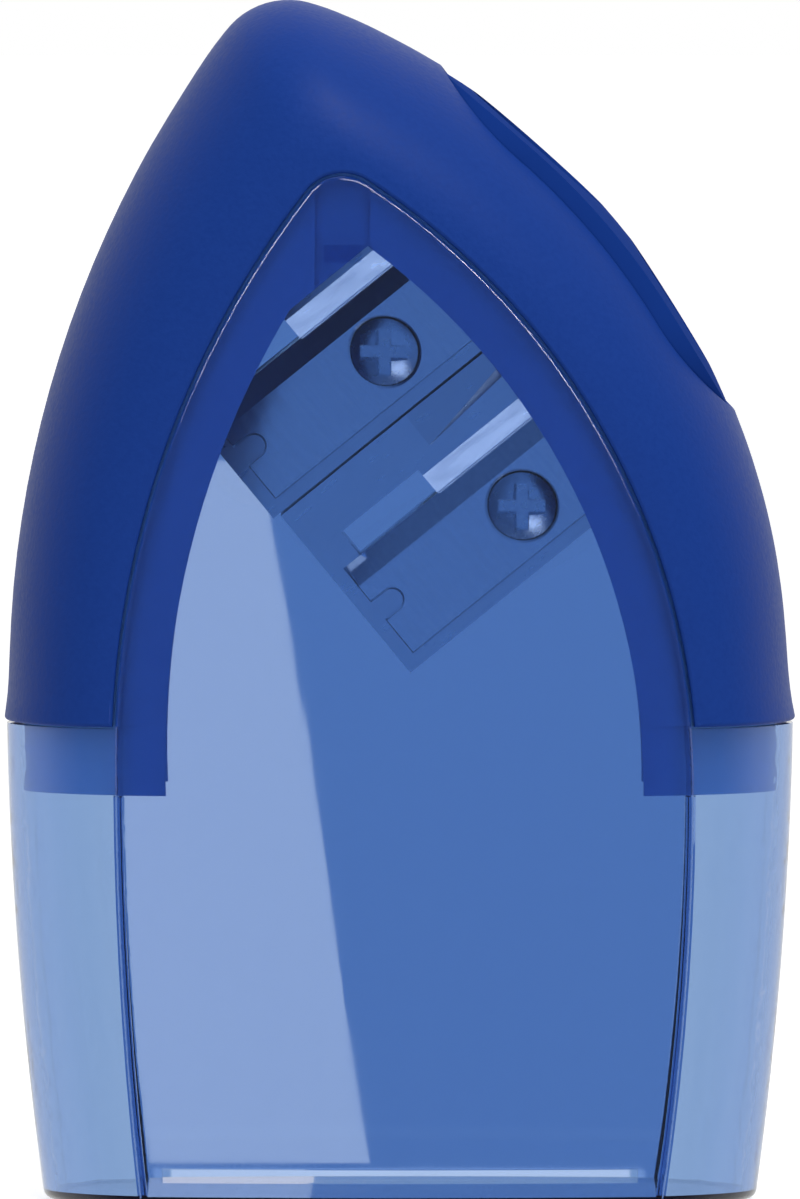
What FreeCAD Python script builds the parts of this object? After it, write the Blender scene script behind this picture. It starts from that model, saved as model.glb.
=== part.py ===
import FreeCAD, Part
import math
import os

from FreeCAD import Matrix, Vector

# Frame: X across the front, Y from the front to the back, Z up, millimetres.
# The origin is the middle of the underside of the container.

# Faces: the front and back are cylinders with upright axes
face_radius = 120.0
panel_depth = 14.0          # middle of the front panel, from the mid plane

# Cap outline in the front view: a pointed arch of three tangent arcs
lip_z = 33.3                # underside of the grip
lip_overhang = 0.2          # grip's flared lip past the container rim
flare_height = 4.5          # height over which the lip flares
cap_left_draw = 0.35        # left flank inside the lip
cap_left_radius = 76.0
cap_left_level = 35.7       # height at which the left flank stands upright
cap_right_draw = 0.6
cap_right_radius = 50.0
cap_right_level = 36.0
cap_tip_radius = 5.5

# Tongue outline in the front view, the same kind of arch
tongue_left_reach = 19.7
tongue_left_radius = 64.0
tongue_left_level = 31.1
tongue_right_reach = 20.3
tongue_right_radius = 50.0
tongue_right_level = 29.1
tongue_tip_radius = 3.0
panel_draw_left = 1.8       # panel drawn in toward the base
panel_draw_right = 2.2

# Container
rim_gap = 0.2               # grip lip above the container rim
rim_half_width = 27.3
middle_draw = 0.8           # sides drawn in at half height and at the foot
foot_draw = 2.6
side_wall = 0.9
panel_rise = 1.0            # panel proud of the side wall's surface
floor_wall = 0.55
foot_recess = 0.2           # hollow under the floor
foot_rim = 1.6
foot_corner = 0.7           # rounding of the bottom edge
panel_edge = 0.4            # rounding of the panel and tongue edge
rib_width = 0.6             # two upright ribs behind the front panel's edges
rib_depth = 2.2
rib_gap = 0.1               # rib tops below the cap's skirt
groove_low = 1.8            # level groove along the foot of the front panel
groove_high = 2.75
groove_half_length = 16.4
groove_depth = 1.3
catch_width = 2.6           # small bead inside each tongue tip
catch_height = 1.2
catch_rise = 0.45

# Cap
grip_edge = 0.25            # rounding of the grip's outer edges
tongue_gap = 0.2            # window edge around the tongue
plate_gap = 0.15            # carrier behind the tongue
carrier_wall = 1.4
skirt_drop = 4.8            # skirt below the grip lip
skirt_wall = 1.25
skirt_gap = 0.2             # skirt inside the container
flange_wall = 1.3
ring_width = 3.55           # arch ring behind the tongue edge
arch_tip_radius = 1.2
web_gap = 0.1               # ring's web above the large block's chip opening
notch_width = 3.8           # pocket in the ring's face for the catch
notch_gap = 0.6             # ring left above the pocket
catch_gap = 0.3             # pocket deeper than the catch
pad_sink = 0.3              # hole plate below the grip surface
pad_round_depth = 25.0      # the plate is flatter than the grip from front to back
pad_length = 30.9
pad_width = 16.0
pad_offset = 15.5           # its middle, from the standard block's lower face

# Sharpener blocks, laid along the pencil axis
axis_tilt = 39.4            # pencil axis above level
block_end_x = 20.425        # lower corner of the standard block's open end, held in the cap
block_end_z = 52.786
block_length = 25.5
standard_block_width = 14.1
large_block_width = 14.6
block_gap = 0.2             # between the two blocks
large_block_lead = 0.5      # large block reaches farther toward the tip
standard_bore_radius = 4.1
large_bore_radius = 5.0
tip_radius = 0.9            # small end of the cones
tip_land = 0.5
cone_length = 18.0
back_wall = 1.4             # metal behind the bores
socket_depth = 5.2          # length of block held in the carrier
socket_gap = 0.1
socket_wall = 1.3
pencil_gap = 0.3            # carrier holes larger than the bores
mouth_flare = 1.0           # carrier holes widen toward their mouths
mouth_length = 6.0

# Blades and screws
blade_end_gap = 0.3         # blade's end short of the block's open end
blade_width = 7.5
blade_thickness = 0.75
blade_bevel = 1.6
blade_edge = 0.05
blade_inset = 1.2           # block wall at the blade's end
blade_shelf = 1.0           # block wall at the blade's back
blade_gap = 0.05
edge_lead = 0.2             # cutting edge past the bore axis
notch_slot_width = 1.8
notch_slot_depth = 2.1
peg_gap = 0.15
chip_start = 2.5            # chip opening along the cutting edge
chip_end = 9.4
chip_width = 2.1
flute_end = 18.0            # sloping trough along the land, after the chip opening
flute_width = 1.6
flute_depth = 0.5
ramp_start = 11.1           # sloped boss beside the chip opening
ramp_offset = 11.4
ramp_foot_drift = 0.6
ramp_top_drift = 1.25
screw_place = 13.5          # along the block
screw_offset = 4.15         # from the block's lower face
screw_radius = 0.9
screw_length = 2.2
screw_gap = 0.03            # thread in the block
screw_tip_gap = 0.2
head_radius = 2.35
head_rise = 0.6
head_gap = 0.25
cross_length = 3.3
cross_width = 1.15          # at the top of the head, narrower at the floor
cross_floor = 0.8
cross_depth = 0.65

# Points that the cap's surface passes through, and how far cutting bodies run past
flank_steps = 11
tip_steps = 6
depth_steps = 12
least_tip_radius = 0.5
past = 1.0
trim = 0.6
closing_inset = 1.5
closing_sink = 4.0
ramp_start_share = 0.02

# Sizes that follow from those above
rim_z = lip_z - rim_gap
lip_half_width = rim_half_width + lip_overhang
cap_left_reach = lip_half_width - cap_left_draw
cap_right_reach = lip_half_width - cap_right_draw
middle_half_width = rim_half_width - middle_draw
foot_half_width = rim_half_width - foot_draw
side_depth = panel_depth - panel_rise
inner_depth = side_depth - side_wall
plate_depth = inner_depth - plate_gap
grip_wall = panel_depth - plate_depth
floor_top = foot_recess + floor_wall
skirt_low = lip_z - skirt_drop
notch_depth = catch_rise - plate_gap + catch_gap
block_corner_x = block_end_x - block_length * math.cos(math.radians(axis_tilt))
block_corner_z = block_end_z - block_length * math.sin(math.radians(axis_tilt))
block_pitch = standard_block_width + block_gap
blade_length = block_length - blade_inset - blade_end_gap
blade_edge_offset = blade_shelf + blade_width
web_offset = block_pitch + blade_edge_offset + chip_width + web_gap
bore_offset = blade_edge_offset - edge_lead


def sag(x):
    """Drop of the face's curve away from its middle line."""
    return face_radius - math.sqrt(face_radius ** 2 - x * x)


class Lancet:
    """A pointed arch of two flank arcs and a tip arc, in the front view."""

    def __init__(self, left, right, tip):
        self.left_reach, self.left_radius, self.left_level = left
        self.right_reach, self.right_radius, self.right_level = right
        self.tip = tip
        self.left_mid = (self.left_radius - self.left_reach, self.left_level)
        self.right_mid = (self.right_reach - self.right_radius, self.right_level)
        self.tip_mid = self._tip_mid()

    def _tip_mid(self):
        ax, az = self.right_mid
        bx, bz = self.left_mid
        ra = self.right_radius - self.tip
        rb = self.left_radius - self.tip
        span = math.hypot(bx - ax, bz - az)
        along = (ra * ra - rb * rb + span * span) / (2 * span)
        across = math.sqrt(ra * ra - along * along)
        ux, uz = (bx - ax) / span, (bz - az) / span
        return (ax + along * ux - across * uz, az + along * uz + across * ux)

    def inset(self, by, least_tip=least_tip_radius):
        left = (self.left_reach - by, self.left_radius - by, self.left_level)
        right = (self.right_reach - by, self.right_radius - by, self.right_level)
        return Lancet(left, right, max(self.tip - by, least_tip))

    def angles(self, base):
        """Start and end angle of the left, tip and right arcs, above a base."""
        low_left = math.pi - math.asin((base - self.left_level) / self.left_radius)
        low_right = math.asin((base - self.right_level) / self.right_radius)
        top_left = math.atan2(self.tip_mid[1] - self.left_mid[1],
                              self.tip_mid[0] - self.left_mid[0])
        top_right = math.atan2(self.tip_mid[1] - self.right_mid[1],
                               self.tip_mid[0] - self.right_mid[0])
        return ((low_left, top_left), (top_left, top_right), (top_right, low_right))

    def arcs(self):
        return ((self.left_mid, self.left_radius),
                (self.tip_mid, self.tip),
                (self.right_mid, self.right_radius))

    def points(self, base):
        """Points from the left foot over the tip to the right foot."""
        found = []
        steps = (flank_steps, tip_steps, flank_steps)
        for (mid, radius), (start, end), count in zip(self.arcs(), self.angles(base), steps):
            for step in range(count):
                turn = start + (end - start) * step / count
                found.append((mid[0] + radius * math.cos(turn), mid[1] + radius * math.sin(turn)))
        mid, radius = self.arcs()[2]
        end = self.angles(base)[2][1]
        found.append((mid[0] + radius * math.cos(end), mid[1] + radius * math.sin(end)))
        return found

    def edges(self, base):
        """The three arcs as edges in the mid plane."""
        made = []
        for (mid, radius), (start, end) in zip(self.arcs(), self.angles(base)):
            made.append(arc_edge(mid, radius, start, end))
        return made

    def panel(self, base):
        """The arch as a closed face, cut off level at its base."""
        edges = self.edges(base)
        first = edges[0].Vertexes[0].Point
        last = edges[-1].Vertexes[-1].Point
        return Part.Face(Part.Wire(edges + [Part.makeLine(last, first)]))


def arc_edge(mid, radius, start, end):
    def at(turn):
        return Vector(mid[0] + radius * math.cos(turn), 0, mid[1] + radius * math.sin(turn))
    return Part.Arc(at(start), at((start + end) / 2), at(end)).toShape()


def foot_arc(reach, level, drawn, side):
    """Lower edge of the panel: upright at the level, drawn in toward the base."""
    radius = (level * level + drawn * drawn) / (2 * drawn)
    mid = (side * (reach - radius), level)
    end = -math.asin(level / radius)
    if side > 0:
        return arc_edge(mid, radius, end, 0)
    return arc_edge(mid, radius, math.pi, math.pi - end)


def through(face):
    """A front-view face carried through the whole depth."""
    half = 2 * panel_depth
    moved = face.copy()
    moved.translate(Vector(0, -half, 0))
    return moved.extrude(Vector(0, 2 * half, 0))


def lens(half_depth, low, high):
    """Upright body between the front and back cylinders."""
    half_width = lip_half_width
    drop = sag(half_width)
    front = Part.Arc(Vector(-half_width, drop - half_depth, low), Vector(0, -half_depth, low),
                     Vector(half_width, drop - half_depth, low)).toShape()
    back = Part.Arc(Vector(half_width, half_depth - drop, low), Vector(0, half_depth, low),
                    Vector(-half_width, half_depth - drop, low)).toShape()
    right = Part.makeLine(Vector(half_width, drop - half_depth, low),
                          Vector(half_width, half_depth - drop, low))
    left = Part.makeLine(Vector(-half_width, half_depth - drop, low),
                         Vector(-half_width, drop - half_depth, low))
    return Part.Face(Part.Wire([front, right, back, left])).extrude(Vector(0, 0, high - low))


def plan(half_width, half_depth, z):
    """Closed plan of four tangent arcs: bowed front and back, round ends."""
    far = face_radius - half_depth
    end_mid = (far * far - (face_radius - half_width) ** 2) / (2 * (face_radius - half_width))
    end_radius = half_width - end_mid
    reach = face_radius / (face_radius - end_radius)
    tx, ty = end_mid * reach, far * (reach - 1)
    front = Part.Arc(Vector(-tx, -ty, z), Vector(0, -half_depth, z), Vector(tx, -ty, z)).toShape()
    right = Part.Arc(Vector(tx, -ty, z), Vector(half_width, 0, z), Vector(tx, ty, z)).toShape()
    back = Part.Arc(Vector(tx, ty, z), Vector(0, half_depth, z), Vector(-tx, ty, z)).toShape()
    left = Part.Arc(Vector(-tx, ty, z), Vector(-half_width, 0, z), Vector(-tx, -ty, z)).toShape()
    return Part.Wire([front, right, back, left])


def side_half_width(z):
    """Half width of the container's outside at a height, on a curve through three sizes."""
    share = z / rim_z
    middle = 2 * middle_half_width - (foot_half_width + rim_half_width) / 2
    return ((1 - share) ** 2 * foot_half_width + 2 * share * (1 - share) * middle
            + share ** 2 * rim_half_width)


def tub(low, high, wall):
    """Tapered body with the container's plan, drawn in by a wall."""
    heights = (low, (low + high) / 2, high)
    return Part.makeLoft([plan(side_half_width(z) - wall, side_depth - wall, z) for z in heights],
                         True, False)


def flared(points, base):
    """The outline's feet led out to the lip."""
    left = lip_half_width + points[0][0]
    right = lip_half_width - points[-1][0]
    moved = []
    for x, z in points:
        share = max(0.0, 1 - (z - base) / flare_height) ** 2
        moved.append((x + share * (right if x > 0 else -left), z))
    return moved


def dome(outline, window, half_depth, base, spread, flare=False):
    """Swelling arch body: the outline at mid depth closes in to the window at the faces.

    Inside the window the body runs on outward by the spread, to be trimmed later.
    """
    rim = outline.points(base)
    if flare:
        rim = flared(rim, base)
    sill = window.points(base)
    rows = []
    for step in range(depth_steps + 1):
        turn = math.pi * (step / depth_steps - 0.5)
        blend = 1 - math.cos(turn)
        row = []
        for (rx, rz), (wx, wz) in zip(rim, sill):
            x = rx + (wx - rx) * blend
            z = rz + (wz - rz) * blend
            row.append(Vector(x, math.sin(turn) * (half_depth - sag(wx)), z))
        rows.append(row)
    skin = Part.BSplineSurface()
    skin.interpolate(rows)
    return close_dome(skin, window.inset(closing_inset), half_depth + spread, base)


def close_dome(skin, inner, half_depth, base):
    """Shut the skin with a flat front, back and underside."""
    faces = [skin.toShape()]
    u0, u1 = skin.bounds()[:2]
    for u, side in ((u0, -1), (u1, 1)):
        edge = skin.uIso(u).toShape()
        curve = Part.BSplineCurve()
        curve.interpolate([Vector(x, side * half_depth, z) for x, z in inner.points(base)])
        inner_edge = curve.toShape()
        faces.append(Part.makeRuledSurface(edge, inner_edge))
        ends = [v.Point for v in inner_edge.Vertexes]
        faces.append(Part.Face(Part.Wire([inner_edge, Part.makeLine(ends[1], ends[0])])))
    low = []
    for face in faces:
        for edge in face.Edges:
            if all(abs(v.Point.z - base) < 1e-5 for v in edge.Vertexes) and edge.BoundBox.ZLength < 1e-4:
                low.append(edge)
    faces.append(Part.Face(Part.Wire(Part.__sortEdges__(low))))
    shell = Part.makeShell(faces)
    shell.sewShape()
    return Part.makeSolid(shell)


cap_arch = Lancet((cap_left_reach, cap_left_radius, cap_left_level),
                  (cap_right_reach, cap_right_radius, cap_right_level), cap_tip_radius)
tongue_arch = Lancet((tongue_left_reach, tongue_left_radius, tongue_left_level),
                     (tongue_right_reach, tongue_right_radius, tongue_right_level),
                     tongue_tip_radius)


def panel_face(by):
    """Front view of panel and tongue, drawn in by a width."""
    arch = tongue_arch.inset(by)
    top_left, top_right = arch.angles(lip_z)[1]
    left_foot = arch.left_reach - panel_draw_left
    right_foot = arch.right_reach - panel_draw_right
    edges = [arc_edge(arch.left_mid, arch.left_radius, math.pi, top_left),
             arc_edge(arch.tip_mid, arch.tip, top_left, top_right),
             arc_edge(arch.right_mid, arch.right_radius, top_right, 0),
             foot_arc(arch.right_reach, arch.right_level, panel_draw_right, 1),
             Part.makeLine(Vector(right_foot, 0, 0), Vector(-left_foot, 0, 0)),
             foot_arc(arch.left_reach, arch.left_level, panel_draw_left, -1)]
    return Part.Face(Part.Wire(Part.__sortEdges__(edges)))


def make_bay():
    """Raised panels and tongues, front to back, with rounded edges."""
    top = tongue_arch.tip_mid[1] + 2 * tongue_arch.tip
    bay = lens(panel_depth, 0, top).common(through(panel_face(0)))
    rims = []
    for edge in bay.Edges:
        mid = edge.valueAt((edge.FirstParameter + edge.LastParameter) / 2)
        if abs(abs(mid.y) - (panel_depth - sag(mid.x))) < 1e-3 and mid.z > 1e-3:
            rims.append(edge)
    bay = bay.makeFillet(panel_edge, rims)
    return bay.cut(lens(inner_depth, floor_top, top))


def make_ribs():
    """Two upright ribs behind the front panel's edges, below the skirt."""
    ahead = Vector(0, -2 * panel_depth, 0)
    strip = panel_face(0).extrude(ahead).cut(panel_face(rib_width).extrude(ahead))
    low = floor_top - floor_wall / 2
    high = skirt_low - rib_gap
    depth = lens(inner_depth + side_wall / 2, low, high)
    return strip.common(depth).cut(lens(inner_depth - rib_depth, low, high))


def make_catches():
    """Small bead inside each tongue, near its tip."""
    x = tongue_arch.tip_mid[0]
    z = tongue_arch.tip_mid[1] - tongue_arch.tip
    block = Part.makeBox(catch_width, 2 * panel_depth, catch_height,
                         Vector(x - catch_width / 2, -panel_depth, z))
    block = block.common(lens(inner_depth + side_wall, z - past, z + catch_height + past))
    return block.cut(lens(inner_depth - catch_rise, z - past, z + catch_height + past))


def make_container():
    outside = tub(0, rim_z, 0)
    under = [e for e in outside.Edges if e.BoundBox.ZMax < 1e-3]
    outside = outside.makeFillet(foot_corner, under)
    outside = outside.cut(tub(floor_top, rim_z, side_wall))
    behind = lens(2 * panel_depth, floor_top, rim_z).common(through(panel_face(rib_width)))
    body = outside.cut(behind).fuse(make_bay())
    groove = Part.makeBox(2 * groove_half_length, 2 * panel_depth, groove_high - groove_low,
                          Vector(-groove_half_length, -2 * panel_depth, groove_low))
    body = body.cut(groove.cut(lens(panel_depth - groove_depth, 0, rim_z)))
    hollow = Part.Face(plan(foot_half_width - foot_rim, side_depth - foot_rim, 0))
    body = body.cut(hollow.extrude(Vector(0, 0, foot_recess)))
    return body.fuse([make_ribs(), make_catches()]).removeSplitter()


def pencil_frame(along, up):
    """Place of a block's own axes: along the pencil, to the back, and across."""
    turn = math.radians(axis_tilt)
    c, s = math.cos(turn), math.sin(turn)
    return Matrix(c, 0, -s, block_corner_x + along * c - up * s,
                  0, 1, 0, 0,
                  s, 0, c, block_corner_z + along * s + up * c,
                  0, 0, 0, 1)


class Unit:
    """One block with its blade and screw, in the block's own axes."""

    def __init__(self, bore, width, lead, up):
        self.bore = bore
        self.width = width
        self.length = block_length + lead
        self.slope = (bore - tip_radius) / cone_length
        self.tilt = math.atan(self.slope)
        self.top = blade_thickness / math.cos(self.tilt)
        self.back = bore + back_wall
        self.place = pencil_frame(-lead, up)

    def seat(self, x):
        """Depth of the blade seat, on the cone's front line."""
        return -(tip_radius + (x - tip_land) * self.slope)

    def blade_frame(self):
        """Blade axes: along the blade, across to its edge, and out to the front."""
        c, s = math.cos(self.tilt), math.sin(self.tilt)
        return Matrix(c, 0, -s, blade_inset,
                      -s, 0, -c, self.seat(blade_inset),
                      0, 1, 0, blade_shelf,
                      0, 0, 0, 1)

    def screw_spot(self):
        return ((screw_place - blade_inset) / math.cos(self.tilt), screw_offset - blade_shelf)

    def face(self, x):
        """Depth of the block's sloping front, level with the blade's top."""
        return self.seat(x) - self.top

    def level_start(self):
        """Where the sloping front reaches the level collar around the bore."""
        return tip_land + (self.back - self.top - tip_radius) / self.slope

    def body(self):
        """Tray side with a sloping front, and land side ending in a level collar."""
        tray = [(0, self.back), (self.length, self.back), (self.length, self.face(self.length)),
                (0, self.face(0))]
        land = [(0, self.back), (self.length, self.back), (self.length, -self.back),
                (self.level_start(), -self.back), (0, self.face(0))]
        return across(tray, 0, blade_edge_offset).fuse(across(land, blade_edge_offset, self.width))

    def room(self):
        """Space for the block's open end, with a gap all round."""
        low = self.length - 2 * socket_depth
        high = self.length + socket_gap
        back = self.back + socket_gap
        front = self.face(self.length) - socket_gap
        tray = [(low, back), (high, back), (high, front), (low, front)]
        land = [(low, back), (high, back), (high, -back), (low, -back)]
        edge = blade_edge_offset + socket_gap
        return across(tray, -socket_gap, edge).fuse(across(land, edge, self.width + socket_gap))

    def bore_axis(self, radius, start, end):
        return Part.makeCylinder(radius, end - start, Vector(start, 0, bore_offset), Vector(1, 0, 0))

    def mouth(self):
        """Hole through the carrier, widening from the block's end to its mouth."""
        radius = self.bore + pencil_gap
        funnel = Part.makeCone(radius, radius + mouth_flare, mouth_length,
                               Vector(self.length, 0, bore_offset), Vector(1, 0, 0))
        inner = self.bore_axis(radius, self.length - past, self.length)
        outer = self.bore_axis(radius + mouth_flare, self.length + mouth_length, 2 * self.length)
        return inner.fuse([funnel, outer])

    def placed(self, shape):
        return moved_by(shape, self.place)


def across(ends, low, high):
    """Outline in the block's depth plane, carried across from one offset to another."""
    corners = [Vector(x, y, low) for x, y in ends]
    return Part.Face(Part.makePolygon(corners + corners[:1])).extrude(Vector(0, 0, high - low))


def moved_by(shape, matrix):
    moved = shape.copy()
    moved.transformShape(matrix)
    return moved


def on_blade(unit, shape):
    return moved_by(shape, unit.blade_frame())


def notch_body(width, depth, thickness, start):
    """Slot with a round end, in the blade's axes."""
    radius = width / 2
    straight = Part.makeBox(depth - radius - start, width, thickness,
                            Vector(start, blade_width / 2 - radius, 0))
    return straight.fuse(Part.makeCylinder(radius, thickness, Vector(depth - radius, blade_width / 2, 0)))


def make_ramp(unit):
    """Sloped boss on the land beside the chip opening, rising to the collar."""
    wires = []
    for x, share in ((ramp_start, ramp_start_share), (flute_end, 1.0)):
        low = unit.face(x)
        high = low + (-unit.back - low) * share
        foot = ramp_offset + ramp_foot_drift * share
        head = ramp_offset + ramp_top_drift * share
        ring = [Vector(x, 0, foot), Vector(x, low, foot), Vector(x, high, head),
                Vector(x, high, unit.width), Vector(x, 0, unit.width)]
        wires.append(Part.makePolygon(ring + ring[:1]))
    boss = Part.makeLoft(wires, True, True)
    head = ramp_offset + ramp_top_drift
    collar = Part.makeBox(unit.length - flute_end, unit.back, unit.width - head,
                          Vector(flute_end, -unit.back, head))
    return boss.fuse(collar)


def make_flute(unit):
    """Trough in the land, deepest beside the blade's edge and rising away from it."""
    start = chip_end - past
    top = unit.face(start)
    far = blade_edge_offset + flute_width
    corners = [Vector(start, top - past, blade_edge_offset),
               Vector(start, top + flute_depth, blade_edge_offset),
               Vector(start, top, far),
               Vector(start, top - past, far)]
    run = Vector(flute_end - start, unit.face(flute_end) - top, 0)
    return Part.Face(Part.makePolygon(corners + corners[:1])).extrude(run)


def make_block(unit):
    body = unit.body().fuse(make_ramp(unit))
    tray = Part.makeBox(blade_length + 2 * blade_gap, blade_width + 2 * blade_gap, 4 * blade_thickness,
                        Vector(-blade_gap, -blade_gap, 0))
    body = body.cut(on_blade(unit, tray))
    deep = 4 * unit.back
    chips = Part.makeBox(chip_end - chip_start, deep, chip_width,
                         Vector(chip_start, -deep / 2, blade_edge_offset))
    cone = Part.makeCone(tip_radius, unit.bore, cone_length, Vector(tip_land, 0, bore_offset),
                         Vector(1, 0, 0))
    outlet = unit.bore_axis(tip_radius, -past, tip_land)
    bore = unit.bore_axis(unit.bore, tip_land + cone_length, unit.length + past)
    body = body.cut([chips, make_flute(unit), cone, outlet, bore])
    along, over = unit.screw_spot()
    hole = Part.makeCylinder(screw_radius + screw_gap, screw_length + blade_thickness + screw_tip_gap,
                             Vector(along, over, -screw_length - screw_tip_gap))
    body = body.cut(on_blade(unit, hole))
    peg = notch_body(notch_slot_width - 2 * peg_gap, notch_slot_depth - peg_gap, blade_thickness, -blade_gap)
    return body.fuse(on_blade(unit, peg)).removeSplitter()


def make_blade(unit):
    ends = [(0, 0), (blade_width, 0), (blade_width, blade_edge),
            (blade_width - blade_bevel, blade_thickness), (0, blade_thickness)]
    corners = [Vector(0, v, w) for v, w in ends]
    blade = Part.Face(Part.makePolygon(corners + corners[:1])).extrude(Vector(blade_length, 0, 0))
    blade = blade.cut(notch_body(notch_slot_width, notch_slot_depth, blade_thickness, -past))
    along, over = unit.screw_spot()
    sink = Part.makeCone(screw_radius + head_gap, head_radius + head_gap, blade_thickness,
                         Vector(along, over, 0))
    return on_blade(unit, blade.cut(sink))


def make_screw(unit):
    """Sunk screw with a low round head and a cross recess."""
    along, over = unit.screw_spot()
    top = blade_thickness + head_rise
    crown = (head_radius ** 2 + head_rise ** 2) / (2 * head_rise)
    half = head_radius / 2
    rim = Part.Arc(Vector(head_radius, 0, blade_thickness),
                   Vector(half, 0, top - crown + math.sqrt(crown ** 2 - half ** 2)),
                   Vector(0, 0, top)).toShape()
    corners = [Vector(0, 0, top), Vector(0, 0, -screw_length), Vector(screw_radius, 0, -screw_length),
               Vector(screw_radius, 0, 0), Vector(head_radius, 0, blade_thickness)]
    wire = Part.Wire(Part.makePolygon(corners).Edges + [rim])
    screw = Part.Face(wire).revolve(Vector(0, 0, 0), Vector(0, 0, 1), 360)
    mouth = cross_width - cross_floor / 2
    ends = [(mouth, top + cross_depth), (cross_floor / 2, top - cross_depth),
            (-cross_floor / 2, top - cross_depth), (-mouth, top + cross_depth)]
    corners = [Vector(-cross_length / 2, v, w) for v, w in ends]
    for turn in (0, 90):
        arm = Part.Face(Part.makePolygon(corners + corners[:1])).extrude(Vector(cross_length, 0, 0))
        arm.rotate(Vector(0, 0, 0), Vector(0, 0, 1), turn - axis_tilt)
        screw = screw.cut(arm)
    screw.translate(Vector(along, over, 0))
    return on_blade(unit, screw)


standard = Unit(standard_bore_radius, standard_block_width, 0.0, 0.0)
large = Unit(large_bore_radius, large_block_width, large_block_lead, block_pitch)


def pad_column():
    """Round-ended column along the pencil axis, over both holes."""
    mid = pad_offset
    radius = pad_width / 2
    half = pad_length / 2 - radius
    run = 2 * lip_half_width
    box = Part.makeBox(run, pad_width, 2 * half, Vector(block_length, -radius, mid - half))
    ends = [Part.makeCylinder(radius, run, Vector(block_length, 0, mid + side * half), Vector(1, 0, 0))
            for side in (-1, 1)]
    return moved_by(box.fuse(ends).removeSplitter(), pencil_frame(0, 0))


def make_core():
    """Outside of the carrier: the surface that the grip is moulded on."""
    body = dome(cap_arch.inset(grip_wall), tongue_arch, plate_depth + trim, lip_z, past)
    return body.common(lens(plate_depth, lip_z, 3 * lip_z))


def make_carrier(core, pad):
    base = skirt_low - past
    inner = cap_arch.inset(grip_wall + carrier_wall)
    hollow = dome(inner, tongue_arch.inset(carrier_wall), plate_depth - carrier_wall + trim, base, past)
    hollow = hollow.common(lens(plate_depth - carrier_wall, base, 3 * lip_z))
    half = side_half_width(skirt_low) - side_wall - skirt_gap
    skirt = Part.Face(plan(half, plate_depth, skirt_low)).extrude(Vector(0, 0, skirt_drop))
    well = Part.Face(plan(half - skirt_wall, plate_depth - skirt_wall, skirt_low))
    skirt = skirt.cut(well.extrude(Vector(0, 0, skirt_drop - flange_wall)))
    body = core.fuse(skirt).cut(hollow)
    arch = tongue_arch.inset(ring_width, arch_tip_radius)
    body = body.cut(through(arch.panel(base)).cut(make_web()))
    tip = tongue_arch.tip_mid
    notch_top = tip[1] + tongue_arch.tip - notch_gap
    notch = Part.makeBox(notch_width, 4 * panel_depth, notch_width * 2,
                         Vector(tip[0] - notch_width / 2, -2 * panel_depth, notch_top - notch_width * 2))
    body = body.cut(notch.cut(lens(plate_depth - notch_depth, base, 3 * lip_z)))
    body = body.fuse([make_sockets(core), pad])
    for unit in (standard, large):
        body = body.cut([unit.placed(unit.mouth()), unit.placed(unit.room())])
    return body


def make_web():
    """Space above the large block's chip opening, which the rings close."""
    reach = 2 * block_length
    box = Part.makeBox(2 * reach, 4 * panel_depth, reach, Vector(-reach, -2 * panel_depth, web_offset))
    return moved_by(box, pencil_frame(0, 0))


def make_sockets(core):
    """Housing that holds the open ends of both blocks."""
    front = large.face(large.length) - socket_wall
    back = large.back + socket_wall
    height = block_pitch + large_block_width + 2 * socket_wall
    box = Part.makeBox(block_length, back - front, height,
                       Vector(block_length - socket_depth, front, -socket_wall))
    return moved_by(box, pencil_frame(0, 0)).common(core)


def make_pad():
    """Hole plate: shows on the slope, a little below the grip."""
    arch = tongue_arch.inset(pad_sink)
    body = dome(cap_arch.inset(pad_sink), arch, pad_round_depth, lip_z, -closing_sink)
    return body.common(pad_column())


def make_grip(core):
    body = dome(cap_arch, tongue_arch, panel_depth, lip_z, -closing_sink, True)
    window = through(tongue_arch.inset(-tongue_gap).panel(lip_z - past))
    window = window.cut(lens(plate_depth - carrier_wall / 2, 0, 3 * lip_z))
    body = body.cut([core, window, pad_column()])
    skin = max(body.Faces, key=lambda face: face.Area)
    return body.makeFillet(grip_edge, skin.Edges)


def main():
    os.makedirs("parts", exist_ok=True)
    core = make_core()
    solids = {"container": make_container(),
              "cap_carrier": make_carrier(core, make_pad()),
              "cap_grip": make_grip(core)}
    for name, unit in (("standard", standard), ("large", large)):
        solids[name + "_block"] = unit.placed(make_block(unit))
        solids[name + "_blade"] = unit.placed(make_blade(unit))
        solids[name + "_screw"] = unit.placed(make_screw(unit))
    for name, shape in solids.items():
        print(name, len(shape.Solids), shape.isValid(), round(shape.Volume, 2))
        shape.exportStep("parts/" + name + ".step")


main()
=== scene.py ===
import bpy
import math
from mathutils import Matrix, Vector

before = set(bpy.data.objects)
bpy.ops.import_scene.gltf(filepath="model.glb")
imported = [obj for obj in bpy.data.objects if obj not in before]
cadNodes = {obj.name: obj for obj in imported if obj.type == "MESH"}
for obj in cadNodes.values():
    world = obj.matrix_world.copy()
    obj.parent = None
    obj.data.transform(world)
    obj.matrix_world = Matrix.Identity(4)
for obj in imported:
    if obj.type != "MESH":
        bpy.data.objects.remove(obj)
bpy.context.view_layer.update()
print("frame loaded,", len(cadNodes), "nodes")


def addNode(tree, kind, inputs=None, **settings):
    node = tree.nodes.new(kind)
    for name, value in settings.items():
        setattr(node, name, value)
    for name, value in (inputs or {}).items():
        node.inputs[name].default_value = value
    return node


def startMaterial(name, values):
    material = bpy.data.materials.new(name)
    material.use_nodes = True
    tree = material.node_tree
    shader = tree.nodes["Principled BSDF"]
    for socket, value in values.items():
        shader.inputs[socket].default_value = value
    return material, tree, shader


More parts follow.
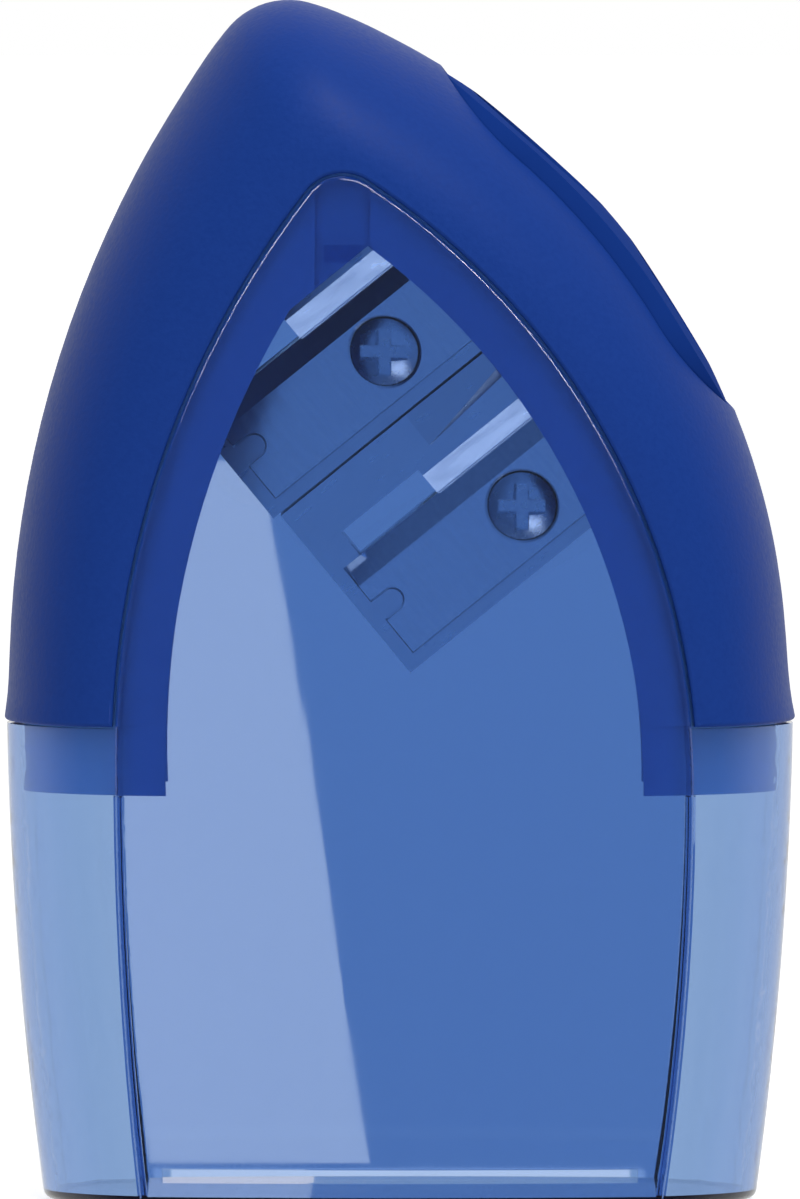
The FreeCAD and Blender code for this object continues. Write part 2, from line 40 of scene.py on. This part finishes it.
def grainNoise(tree, scale, detail, stretch=(1, 1, 1), turn=(0, 0, 0)):
    # noise on the piece's own coordinates, stretched and turned by a mapping
    place = addNode(tree, "ShaderNodeTexCoord")
    turned = addNode(tree, "ShaderNodeMapping", {"Rotation": turn, "Scale": stretch},
                     vector_type="TEXTURE")
    noise = addNode(tree, "ShaderNodeTexNoise", {"Scale": scale, "Detail": detail})
    tree.links.new(place.outputs["Object"], turned.inputs["Vector"])
    tree.links.new(turned.outputs["Vector"], noise.inputs["Vector"])
    return noise.outputs["Fac"]


def tintBy(tree, factor, shader, dark, light):
    mix = addNode(tree, "ShaderNodeMix", data_type="RGBA")
    mix.inputs["A"].default_value = (*dark, 1)
    mix.inputs["B"].default_value = (*light, 1)
    tree.links.new(factor, mix.inputs["Factor"])
    tree.links.new(mix.outputs["Result"], shader.inputs["Base Color"])
    return mix.outputs["Result"]


noiseLow, noiseHigh = 0.3, 0.7  # most of the noise lies between these


def roughBy(tree, factor, shader, low, high):
    span = addNode(tree, "ShaderNodeMapRange",
                   {"From Min": noiseLow, "From Max": noiseHigh, "To Min": low, "To Max": high})
    tree.links.new(factor, span.inputs["Value"])
    tree.links.new(span.outputs["Result"], shader.inputs["Roughness"])
    return span.outputs["Result"]


def bumpBy(tree, factor, shader, strength, depth):
    bump = addNode(tree, "ShaderNodeBump", {"Strength": strength, "Distance": depth})
    tree.links.new(factor, bump.inputs["Height"])
    tree.links.new(bump.outputs["Normal"], shader.inputs["Normal"])


def grainFinish(tree, grain, shader, look):
    tintBy(tree, grain, shader, look["dark"], look["light"])
    roughBy(tree, grain, shader, *look["rough"])
    bumpBy(tree, grain, shader, look["grainBump"], look["grainDepth"])


clearBlue = {
    "surface": (0.98, 0.985, 1, 1),
    "ior": 1.5,
    "rough": (0.01, 0.03),
    "taken": (710.0, 470.0, 200.0),  # light lost per metre, red green blue
    "density": 800.0,
    "flow": 140.0,  # moulding ripples per metre
    "flowDetail": 1.0,
    "flowBump": 0.03,
    "flowDepth": 0.00001,
}


def makeClearBlue(look):
    values = {"Base Color": look["surface"], "Transmission Weight": 1.0, "IOR": look["ior"]}
    material, tree, shader = startMaterial("clear_blue_plastic", values)
    flow = grainNoise(tree, look["flow"], look["flowDetail"])
    roughBy(tree, flow, shader, *look["rough"])
    bumpBy(tree, flow, shader, look["flowBump"], look["flowDepth"])
    colour = [1 - taken / look["density"] for taken in look["taken"]]
    depth = addNode(tree, "ShaderNodeVolumeAbsorption",
                    {"Color": (*colour, 1), "Density": look["density"]})
    tree.links.new(depth.outputs["Volume"], tree.nodes["Material Output"].inputs["Volume"])
    return material


softBlue = {
    "dark": (0.008, 0.044, 0.275),
    "light": (0.011, 0.056, 0.330),
    "rough": (0.40, 0.50),
    "specular": 0.10,
    "grain": 2600.0,  # grains per metre
    "grainDetail": 2.0,
    "grainBump": 0.35,
    "grainDepth": 0.00006,
}


def makeSoftBlue(look):
    values = {"Specular IOR Level": look["specular"]}
    material, tree, shader = startMaterial("soft_touch_blue", values)
    grain = grainNoise(tree, look["grain"], look["grainDetail"])
    grainFinish(tree, grain, shader, look)
    return material


pencilTurn = (0, -math.radians(39.4), 0)  # blocks, blades and pencil holes lie along this slope
hardBlue = {
    "dark": (0.11, 0.24, 0.52),
    "light": (0.125, 0.265, 0.555),
    "plate": (0.009, 0.048, 0.29),  # the hole plate has the grip's colour
    "plateStart": 0.0258,  # along the pencil axis, from the lowest block corner
    "corner": (0.00072, 0.0, 0.0366),
    "rough": (0.45, 0.55),
    "plateRough": 0.9,
    "specular": 0.05,
    "grain": 900.0,
    "grainDetail": 3.0,
    "grainBump": 0.15,
    "grainDepth": 0.000006,
}


def makeHardBlue(look):
    values = {"Specular IOR Level": look["specular"]}
    material, tree, shader = startMaterial("hard_blue_plastic", values)
    grain = grainNoise(tree, look["grain"], look["grainDetail"])
    frameTint = tintBy(tree, grain, shader, look["dark"], look["light"])
    place = addNode(tree, "ShaderNodeTexCoord")
    along = addNode(tree, "ShaderNodeMapping",
                    {"Location": look["corner"], "Rotation": pencilTurn}, vector_type="TEXTURE")
    split = addNode(tree, "ShaderNodeSeparateXYZ")
    outer = addNode(tree, "ShaderNodeMath", {1: look["plateStart"]}, operation="GREATER_THAN")
    plateTint = addNode(tree, "ShaderNodeMix", data_type="RGBA")
    plateTint.inputs["B"].default_value = (*look["plate"], 1)
    tree.links.new(place.outputs["Object"], along.inputs["Vector"])
    tree.links.new(along.outputs["Vector"], split.inputs["Vector"])
    tree.links.new(split.outputs["X"], outer.inputs[0])
    tree.links.new(outer.outputs["Value"], plateTint.inputs["Factor"])
    tree.links.new(frameTint, plateTint.inputs["A"])
    tree.links.new(plateTint.outputs["Result"], shader.inputs["Base Color"])
    frameRough = roughBy(tree, grain, shader, *look["rough"])
    plateRough = addNode(tree, "ShaderNodeMix", data_type="FLOAT")
    plateRough.inputs["B"].default_value = look["plateRough"]
    tree.links.new(outer.outputs["Value"], plateRough.inputs["Factor"])
    tree.links.new(frameRough, plateRough.inputs["A"])
    tree.links.new(plateRough.outputs["Result"], shader.inputs["Roughness"])
    bumpBy(tree, grain, shader, look["grainBump"], look["grainDepth"])
    return material


castMetal = {
    "dark": (0.66, 0.73, 0.80),
    "light": (0.75, 0.82, 0.89),
    "rough": (0.26, 0.36),
    "grain": 1500.0,
    "grainDetail": 4.0,
    "stretch": (6, 1, 1),
    "turn": pencilTurn,
    "grainBump": 0.3,
    "grainDepth": 0.00001,
}
groundSteel = {
    "dark": (0.66, 0.71, 0.77),
    "light": (0.76, 0.81, 0.87),
    "rough": (0.16, 0.26),
    "grain": 2400.0,
    "grainDetail": 3.0,
    "stretch": (1, 1, 14),  # grinding marks square to the edge
    "turn": pencilTurn,
    "grainBump": 0.25,
    "grainDepth": 0.000004,
}
platedSteel = {
    "dark": (0.56, 0.62, 0.69),
    "light": (0.68, 0.74, 0.81),
    "rough": (0.20, 0.30),
    "grain": 1800.0,
    "grainDetail": 4.0,
    "stretch": (1, 1, 1),  # even all round
    "turn": (0, 0, 0),
    "grainBump": 0.2,
    "grainDepth": 0.000005,
}


def makeMetal(name, look):
    material, tree, shader = startMaterial(name, {"Metallic": 1.0})
    grain = grainNoise(tree, look["grain"], look["grainDetail"], look["stretch"], look["turn"])
    grainFinish(tree, grain, shader, look)
    return material


def dress(names, material):
    for name in names:
        piece = cadNodes[name]
        piece.data.materials.clear()
        piece.data.materials.append(material)


dress(["container"], makeClearBlue(clearBlue))
dress(["cap_grip"], makeSoftBlue(softBlue))
dress(["cap_carrier"], makeHardBlue(hardBlue))
dress(["standard_block", "large_block"], makeMetal("cast_light_metal", castMetal))
dress(["standard_blade", "large_blade"], makeMetal("ground_blade_steel", groundSteel))
dress(["standard_screw", "large_screw"], makeMetal("plated_screw_steel", platedSteel))
print("finishes on")


shot = {
    "frameHeight": 0.08326,  # height that the picture takes in at the middle of the object
    "distance": 2.2,
    "elevation": 2.5,
    "aim": (0, 0, 0.0416),
    "clipStart": 0.01,
}


def makeCamera(look):
    rise = math.radians(look["elevation"])
    aim = Vector(look["aim"])
    back = Vector((0, -math.cos(rise), math.sin(rise)))
    bpy.ops.object.camera_add(location=aim + back * look["distance"])
    camera = bpy.context.object
    camera.name = "front_camera"
    camera.rotation_euler = (-back).to_track_quat("-Z", "Y").to_euler()
    camera.data.lens = camera.data.sensor_width * look["distance"] / look["frameHeight"]
    camera.data.clip_start = look["clipStart"]
    bpy.context.scene.camera = camera


makeCamera(shot)

studio = {
    "seen": 1.0,  # what the camera sees of the surroundings, also through the clear walls
    "ambient": 0.40,  # what they give to matt surfaces
    "through": 2.0,  # and to matt surfaces behind the clear walls
    # what shiny surfaces see from the front round to the back, as (direction along Y, brightness)
    "shinyOutside": ((-1.0, 0.2), (-0.35, 0.2), (0.25, 0.9)),
    "shinyInside": ((-0.92, 1.1), (-0.6, 0.5), (-0.1, 0.5), (0.25, 1.0)),
    "floorSize": 6,
    "floorDrop": 0.0001,  # floor below the object's underside
    "floorColour": 0.85,
    "floorRough": 0.9,
    "floorLift": 0.7,  # white that the floor gives the viewer besides its lit colour
}


def lightPathSum(tree, names):
    # 1 for any of the named kinds of ray
    path = addNode(tree, "ShaderNodeLightPath")
    total = path.outputs[names[0]]
    for name in names[1:]:
        both = addNode(tree, "ShaderNodeMath", operation="MAXIMUM")
        tree.links.new(total, both.inputs[0])
        tree.links.new(path.outputs[name], both.inputs[1])
        total = both.outputs["Value"]
    return total


def product(tree, first, second):
    times = addNode(tree, "ShaderNodeMath", operation="MULTIPLY", use_clamp=True)
    tree.links.new(first, times.inputs[0])
    tree.links.new(second, times.inputs[1])
    return times.outputs["Value"]


def backdrop(tree, strength):
    white = {"Color": (1, 1, 1, 1), "Strength": strength}
    return addNode(tree, "ShaderNodeBackground", white).outputs[0]


def aroundGlow(tree, direction, stops):
    # brightness that changes from the front round to the back
    place = addNode(tree, "ShaderNodeMapRange", {"From Min": -1.0, "From Max": 1.0})
    ramp = addNode(tree, "ShaderNodeValToRGB")
    marks = ramp.color_ramp.elements
    while len(marks) < len(stops):
        marks.new(1.0)
    for mark, (turn, glow) in zip(marks, stops):
        mark.position = (turn + 1) / 2
        mark.color = (glow, glow, glow, 1)
    shine = addNode(tree, "ShaderNodeBackground")
    tree.links.new(direction, place.inputs["Value"])
    tree.links.new(place.outputs["Result"], ramp.inputs["Fac"])
    tree.links.new(ramp.outputs["Color"], shine.inputs["Color"])
    return shine.outputs[0]


def swapFor(tree, usual, other, chosen):
    mix = addNode(tree, "ShaderNodeMixShader")
    tree.links.new(chosen, mix.inputs[0])
    tree.links.new(usual, mix.inputs[1])
    tree.links.new(other, mix.inputs[2])
    return mix.outputs[0]


def makeSurroundings(look):
    world = bpy.data.worlds.new("studio_white")
    bpy.context.scene.world = world
    world.use_nodes = True
    tree = world.node_tree
    tree.nodes.clear()
    place = addNode(tree, "ShaderNodeTexCoord")
    split = addNode(tree, "ShaderNodeSeparateXYZ")
    tree.links.new(place.outputs["Generated"], split.inputs["Vector"])
    path = addNode(tree, "ShaderNodeLightPath").outputs
    through = path["Is Transmission Ray"]
    shade = backdrop(tree, look["ambient"])
    shade = swapFor(tree, shade, backdrop(tree, look["seen"]),
                    lightPathSum(tree, ["Is Camera Ray", "Is Transmission Ray"]))
    shade = swapFor(tree, shade, backdrop(tree, look["through"]),
                    product(tree, through, path["Diffuse Depth"]))
    shade = swapFor(tree, shade, aroundGlow(tree, split.outputs["Y"], look["shinyOutside"]),
                    product(tree, path["Is Glossy Ray"], path["Is Reflection Ray"]))
    shade = swapFor(tree, shade, aroundGlow(tree, split.outputs["Y"], look["shinyInside"]),
                    product(tree, through, path["Glossy Depth"]))
    out = addNode(tree, "ShaderNodeOutputWorld")
    tree.links.new(shade, out.inputs["Surface"])


def makeFloor(look):
    bpy.ops.object.select_all(action="DESELECT")
    bpy.ops.mesh.primitive_plane_add(size=look["floorSize"], location=(0, 0, -look["floorDrop"]))
    floor = bpy.context.object
    floor.name = "floor"
    tone = look["floorColour"]
    values = {"Base Color": (tone, tone, tone, 1), "Roughness": look["floorRough"],
              "Emission Color": (1, 1, 1, 1)}
    material, tree, shader = startMaterial("floor_white", values)
    lift = addNode(tree, "ShaderNodeMath", {1: look["floorLift"]}, operation="MULTIPLY")
    tree.links.new(lightPathSum(tree, ["Is Camera Ray"]), lift.inputs[0])
    tree.links.new(lift.outputs["Value"], shader.inputs["Emission Strength"])
    floor.data.materials.append(material)
    floor.visible_glossy = False
    floor.visible_transmission = False  # clear walls show the white surroundings through it


makeSurroundings(studio)
makeFloor(studio)

# glow is the lamp's own brightness beside a white wall at 1; sees lists the rays that meet it
lamps = {
    "top_softbox": {"place": (0.10, -0.26, 0.48), "aim": (0, 0, 0.06), "size": (0.30, 0.22),
                    "glow": 7.0, "tint": (1, 1, 1),
                    "sees": ("diffuse", "glossy", "transmission"), "soft": False},
    "under_card": {"place": (0.052, -0.387, -0.335), "aim": (0, 0, 0.05), "size": (0.22, 0.22),
                   "glow": 12.5, "tint": (1, 0.47, 0.22),
                   "sees": ("transmission",), "soft": False},
    "left_strip": {"place": (-0.42, -0.05, 0.36), "aim": (0, 0, 0.05), "size": (0.40, 0.4),
                   "glow": 20.0, "tint": (1, 1, 1),
                   "sees": ("glossy",), "soft": True},
    "right_strip": {"place": (0.40, -0.05, 0.40), "aim": (0, 0, 0.05), "size": (0.40, 0.5),
                    "glow": 20.0, "tint": (1, 1, 1),
                    "sees": ("glossy",), "soft": True},
}
humpScale = 16.0  # brings the product of the two humps to 1 in the lamp's middle
clearOnly = bpy.data.collections.new("clear_only")
clearOnly.objects.link(cadNodes["container"])


def softenEdges(lamp):
    # brightest in the middle, down to nothing at the edges, and only on the clear walls
    lamp.data.use_nodes = True
    tree = lamp.data.node_tree
    spot = addNode(tree, "ShaderNodeNewGeometry")
    split = addNode(tree, "ShaderNodeSeparateXYZ")
    tree.links.new(spot.outputs["Parametric"], split.inputs["Vector"])
    humps = []
    for axis in ("X", "Y"):
        rest = addNode(tree, "ShaderNodeMath", {0: 1.0}, operation="SUBTRACT")
        tree.links.new(split.outputs[axis], rest.inputs[1])
        hump = addNode(tree, "ShaderNodeMath", operation="MULTIPLY")
        tree.links.new(split.outputs[axis], hump.inputs[0])
        tree.links.new(rest.outputs["Value"], hump.inputs[1])
        humps.append(hump.outputs["Value"])
    both = addNode(tree, "ShaderNodeMath", operation="MULTIPLY")
    peak = addNode(tree, "ShaderNodeMath", {1: humpScale}, operation="MULTIPLY")
    tree.links.new(humps[0], both.inputs[0])
    tree.links.new(humps[1], both.inputs[1])
    tree.links.new(both.outputs["Value"], peak.inputs[0])
    tree.links.new(peak.outputs["Value"], tree.nodes["Emission"].inputs["Strength"])
    lamp.light_linking.receiver_collection = clearOnly


def makeLamps(table):
    for name, look in table.items():
        place = Vector(look["place"])
        ahead = Vector(look["aim"]) - place
        bpy.ops.object.light_add(type="AREA", location=place)
        lamp = bpy.context.object
        lamp.name = name
        lamp.rotation_euler = ahead.to_track_quat("-Z", "Y").to_euler()
        lamp.data.shape = "RECTANGLE"
        lamp.data.size, lamp.data.size_y = look["size"]
        lamp.data.energy = look["glow"] * math.pi * look["size"][0] * look["size"][1]
        lamp.data.color = look["tint"]
        lamp.visible_camera = False
        for ray in ("diffuse", "glossy", "transmission"):
            setattr(lamp, "visible_" + ray, ray in look["sees"])
        if look["soft"]:
            softenEdges(lamp)


makeLamps(lamps)

# glowing cards behind the object that show only through the clear walls
# corners are low left, low right, high left and high right, across and up
backCards = {
    "patch_card": {"corners": ((-0.0200, -0.0129), (-0.0023, -0.0129),
                               (-0.0233, 0.0415), (-0.0106, 0.0415)),
                   "glow": 4.1, "tint": (1, 0.588, 0.365, 1)},
    "strip_card": {"corners": ((-0.0197, -0.01425), (0.0197, -0.01425),
                               (-0.0197, -0.01331), (0.0197, -0.01331)),
                   "glow": 2.6, "tint": (1, 0.74, 0.56, 1)},
}
cardAway = 0.25  # behind the object's middle


def makeBackCards(table, away):
    for name, look in table.items():
        bpy.ops.object.select_all(action="DESELECT")
        bpy.ops.mesh.primitive_plane_add(size=1, location=(0, away, 0))
        card = bpy.context.object
        card.name = name
        for corner, (x, z) in zip(card.data.vertices, look["corners"]):
            corner.co = (x, 0, z)
        material = bpy.data.materials.new(name + "_glow")
        material.use_nodes = True
        tree = material.node_tree
        tree.nodes.clear()
        glow = addNode(tree, "ShaderNodeEmission",
                       {"Color": look["tint"], "Strength": look["glow"]})
        out = addNode(tree, "ShaderNodeOutputMaterial")
        tree.links.new(glow.outputs["Emission"], out.inputs["Surface"])
        card.data.materials.append(material)
        for ray in ("camera", "diffuse", "glossy", "shadow"):
            setattr(card, "visible_" + ray, False)


makeBackCards(backCards, cardAway)
bpy.context.scene.view_settings.view_transform = "Standard"
print("studio set")
